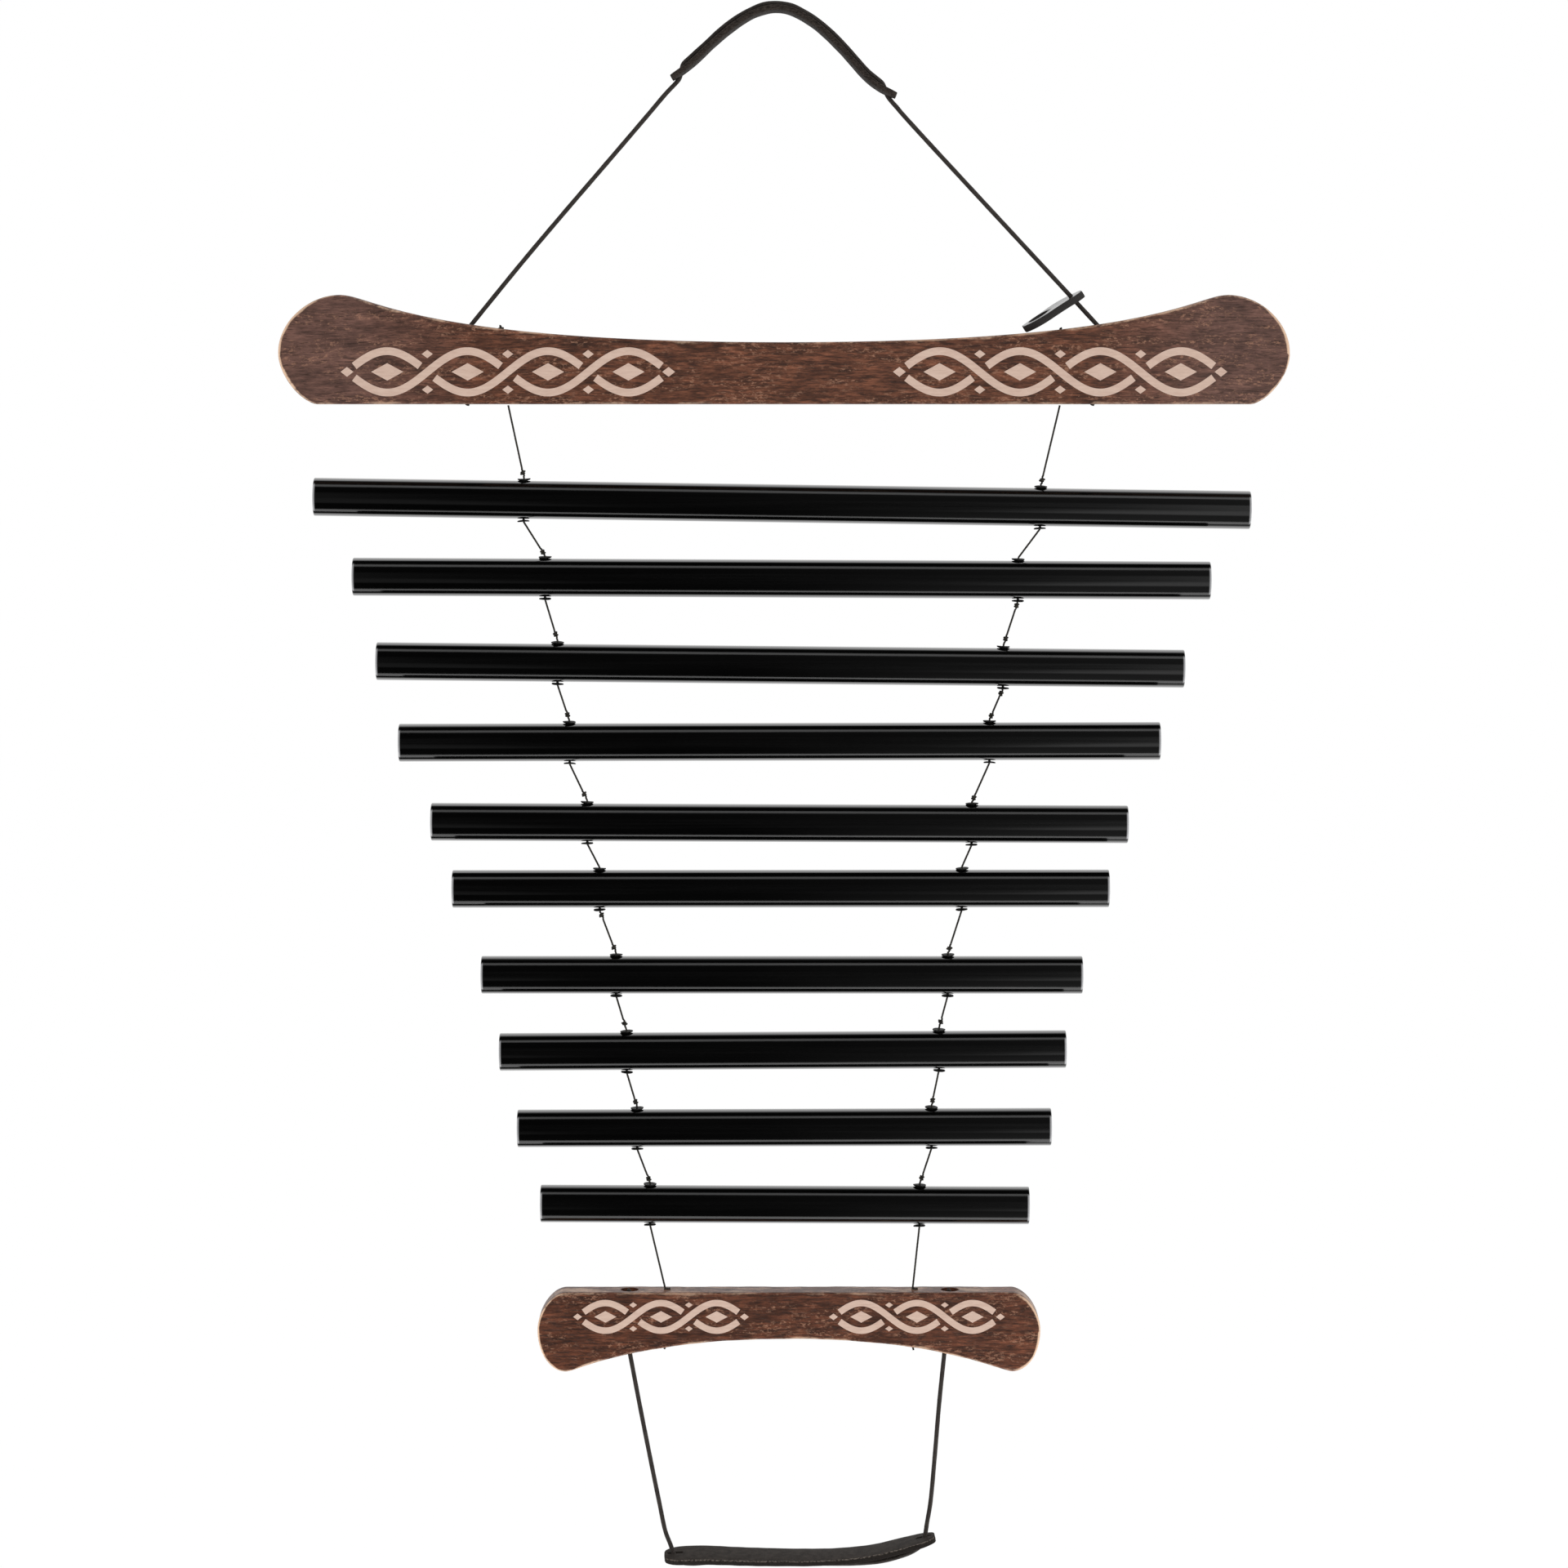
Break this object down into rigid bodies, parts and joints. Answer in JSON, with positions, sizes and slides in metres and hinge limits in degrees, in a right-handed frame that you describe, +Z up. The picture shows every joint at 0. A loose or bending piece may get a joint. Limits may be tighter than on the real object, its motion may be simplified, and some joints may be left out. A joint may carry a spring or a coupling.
{
  "type": "tube chimes",
  "caption": "Tuned metal tubes strung like a ladder between two shaped wooden bars, hung from a leather cord and grip, with a leather pull loop and grip below.",
  "frame": {"origin": "underside of the top leather grip at its highest point, midway across it and above the middle of the top bar, where a hand or a hook carries the chimes", "axes": "+Z up along the hanging line, +X to the player's right along the tubes, +Y away from the player"},
  "size_m": [0.579, 0.024, 0.9114],
  "materials": {
    "wood": "dark red-brown stain, satin",
    "tube": "black anodised, glossy",
    "liner": "black, satin",
    "string": "black waxed string",
    "leather": "black-brown, smooth"
  },
  "bodies": {
    "hanger": {"top_grip": "leather", "hanging_cord": "leather"},
    "slider": {"cord_slider": "leather"},
    "top_beam": {"top_bar": "wood"},
    "strings_00": {"string_00_left": "string", "string_00_right": "string"},
    "chime_01": {"tube_01": "tube", "liner_01_left": "liner", "liner_01_right": "liner"},
    "strings_01": {"string_01_left": "string", "string_01_right": "string"},
    "chime_02": {"tube_02": "tube", "liner_02_left": "liner", "liner_02_right": "liner"},
    "strings_02": {"string_02_left": "string", "string_02_right": "string"},
    "chime_03": {"tube_03": "tube", "liner_03_left": "liner", "liner_03_right": "liner"},
    "strings_03": {"string_03_left": "string", "string_03_right": "string"},
    "chime_04": {"tube_04": "tube", "liner_04_left": "liner", "liner_04_right": "liner"},
    "strings_04": {"string_04_left": "string", "string_04_right": "string"},
    "chime_05": {"tube_05": "tube", "liner_05_left": "liner", "liner_05_right": "liner"},
    "strings_05": {"string_05_left": "string", "string_05_right": "string"},
    "chime_06": {"tube_06": "tube", "liner_06_left": "liner", "liner_06_right": "liner"},
    "strings_06": {"string_06_left": "string", "string_06_right": "string"},
    "chime_07": {"tube_07": "tube", "liner_07_left": "liner", "liner_07_right": "liner"},
    "strings_07": {"string_07_left": "string", "string_07_right": "string"},
    "chime_08": {"tube_08": "tube", "liner_08_left": "liner", "liner_08_right": "liner"},
    "strings_08": {"string_08_left": "string", "string_08_right": "string"},
    "chime_09": {"tube_09": "tube", "liner_09_left": "liner", "liner_09_right": "liner"},
    "strings_09": {"string_09_left": "string", "string_09_right": "string"},
    "chime_10": {"tube_10": "tube", "liner_10_left": "liner", "liner_10_right": "liner"},
    "strings_10": {"string_10_left": "string", "string_10_right": "string"},
    "foot_beam": {"bottom_bar": "wood"},
    "pull_loop": {"pull_cord": "leather", "pull_grip": "leather"}
  },
  "joints": [
    {"name": "slider_on_cord", "type": "slide", "parent": "hanger", "child": "slider", "axis": [-0.683, 0, 0.7304], "range_m": [0, 0.132]},
    {"name": "top_bar_on_cord", "type": "hinge", "parent": "hanger", "child": "top_beam", "pos_m": [0, 0, -0.17511], "axis": [-1, 0, 0], "range_deg": [-10, 10]},
    {"name": "strings_00_swing", "type": "hinge", "parent": "top_beam", "child": "strings_00", "pos_m": [0, 0, -0.2227], "axis": [1, 0, 0], "range_deg": [-45, 45]},
    {"name": "chime_01_swing", "type": "hinge", "parent": "strings_00", "child": "chime_01", "pos_m": [-0.00092, 0, -0.2664], "axis": [-0.9999, 0, 0.0141], "range_deg": [-45, 45]},
    {"name": "strings_01_swing", "type": "hinge", "parent": "chime_01", "child": "strings_01", "pos_m": [-0.00128, 0, -0.2916], "axis": [0.9999, 0, -0.0141], "range_deg": [-45, 45]},
    {"name": "chime_02_swing", "type": "hinge", "parent": "strings_01", "child": "chime_02", "pos_m": [-0.00134, 0, -0.3097], "axis": [-1, 0, 0.0044], "range_deg": [-45, 45]},
    {"name": "strings_02_swing", "type": "hinge", "parent": "chime_02", "child": "strings_02", "pos_m": [-0.00146, 0, -0.3349], "axis": [1, 0, -0.0044], "range_deg": [-45, 45]},
    {"name": "chime_03_swing", "type": "hinge", "parent": "strings_02", "child": "chime_03", "pos_m": [-0.00198, 0, -0.3596], "axis": [-1, 0, 0.0093], "range_deg": [-45, 45]},
    {"name": "strings_03_swing", "type": "hinge", "parent": "chime_03", "child": "strings_03", "pos_m": [-0.00222, 0, -0.3848], "axis": [1, 0, -0.0093], "range_deg": [-45, 45]},
    {"name": "chime_04_swing", "type": "hinge", "parent": "strings_03", "child": "chime_04", "pos_m": [-0.00263, 0, -0.4042], "axis": [-1, 0, -0.0025], "range_deg": [-45, 45]},
    {"name": "strings_04_swing", "type": "hinge", "parent": "chime_04", "child": "strings_04", "pos_m": [-0.00257, 0, -0.4294], "axis": [1, 0, 0.0025], "range_deg": [-45, 45]},
    {"name": "chime_05_swing", "type": "hinge", "parent": "strings_04", "child": "chime_05", "pos_m": [-0.00255, 0, -0.4515], "axis": [-1, 0, 0.0036], "range_deg": [-45, 45]},
    {"name": "strings_05_swing", "type": "hinge", "parent": "chime_05", "child": "strings_05", "pos_m": [-0.00265, 0, -0.4767], "axis": [1, 0, -0.0036], "range_deg": [-45, 45]},
    {"name": "chime_06_swing", "type": "hinge", "parent": "strings_05", "child": "chime_06", "pos_m": [-0.00191, 0, -0.4898], "axis": [-1, 0, -0.001], "range_deg": [-45, 45]},
    {"name": "strings_06_swing", "type": "hinge", "parent": "chime_06", "child": "strings_06", "pos_m": [-0.00189, 0, -0.515], "axis": [1, 0, 0.001], "range_deg": [-45, 45]},
    {"name": "chime_07_swing", "type": "hinge", "parent": "strings_06", "child": "chime_07", "pos_m": [-0.0012, 0, -0.5403], "axis": [-1, 0, 0], "range_deg": [-45, 45]},
    {"name": "strings_07_swing", "type": "hinge", "parent": "chime_07", "child": "strings_07", "pos_m": [-0.0012, 0, -0.5655], "axis": [1, 0, 0], "range_deg": [-45, 45]},
    {"name": "chime_08_swing", "type": "hinge", "parent": "strings_07", "child": "chime_08", "pos_m": [-0.00077, 0, -0.5848], "axis": [-1, 0, -0.0055], "range_deg": [-45, 45]},
    {"name": "strings_08_swing", "type": "hinge", "parent": "chime_08", "child": "strings_08", "pos_m": [-0.00063, 0, -0.61], "axis": [1, 0, 0.0055], "range_deg": [-45, 45]},
    {"name": "chime_09_swing", "type": "hinge", "parent": "strings_08", "child": "chime_09", "pos_m": [0.00016, 0, -0.6303], "axis": [-1, 0, -0.0035], "range_deg": [-45, 45]},
    {"name": "strings_09_swing", "type": "hinge", "parent": "chime_09", "child": "strings_09", "pos_m": [0.00024, 0, -0.6555], "axis": [1, 0, 0.0035], "range_deg": [-45, 45]},
    {"name": "chime_10_swing", "type": "hinge", "parent": "strings_09", "child": "chime_10", "pos_m": [0.00055, 0, -0.6758], "axis": [-1, 0, 0.0038], "range_deg": [-45, 45]},
    {"name": "strings_10_swing", "type": "hinge", "parent": "chime_10", "child": "strings_10", "pos_m": [0.00045, 0, -0.701], "axis": [1, 0, -0.0038], "range_deg": [-45, 45]},
    {"name": "bottom_bar_swing", "type": "hinge", "parent": "strings_10", "child": "foot_beam", "pos_m": [0.0029, 0, -0.7383], "axis": [-1, 0, 0], "range_deg": [-45, 45]},
    {"name": "pull_loop_swing", "type": "hinge", "parent": "foot_beam", "child": "pull_loop", "pos_m": [0.00185, 0, -0.77704], "axis": [1, 0, 0.0025], "range_deg": [-45, 45]}
  ]
}
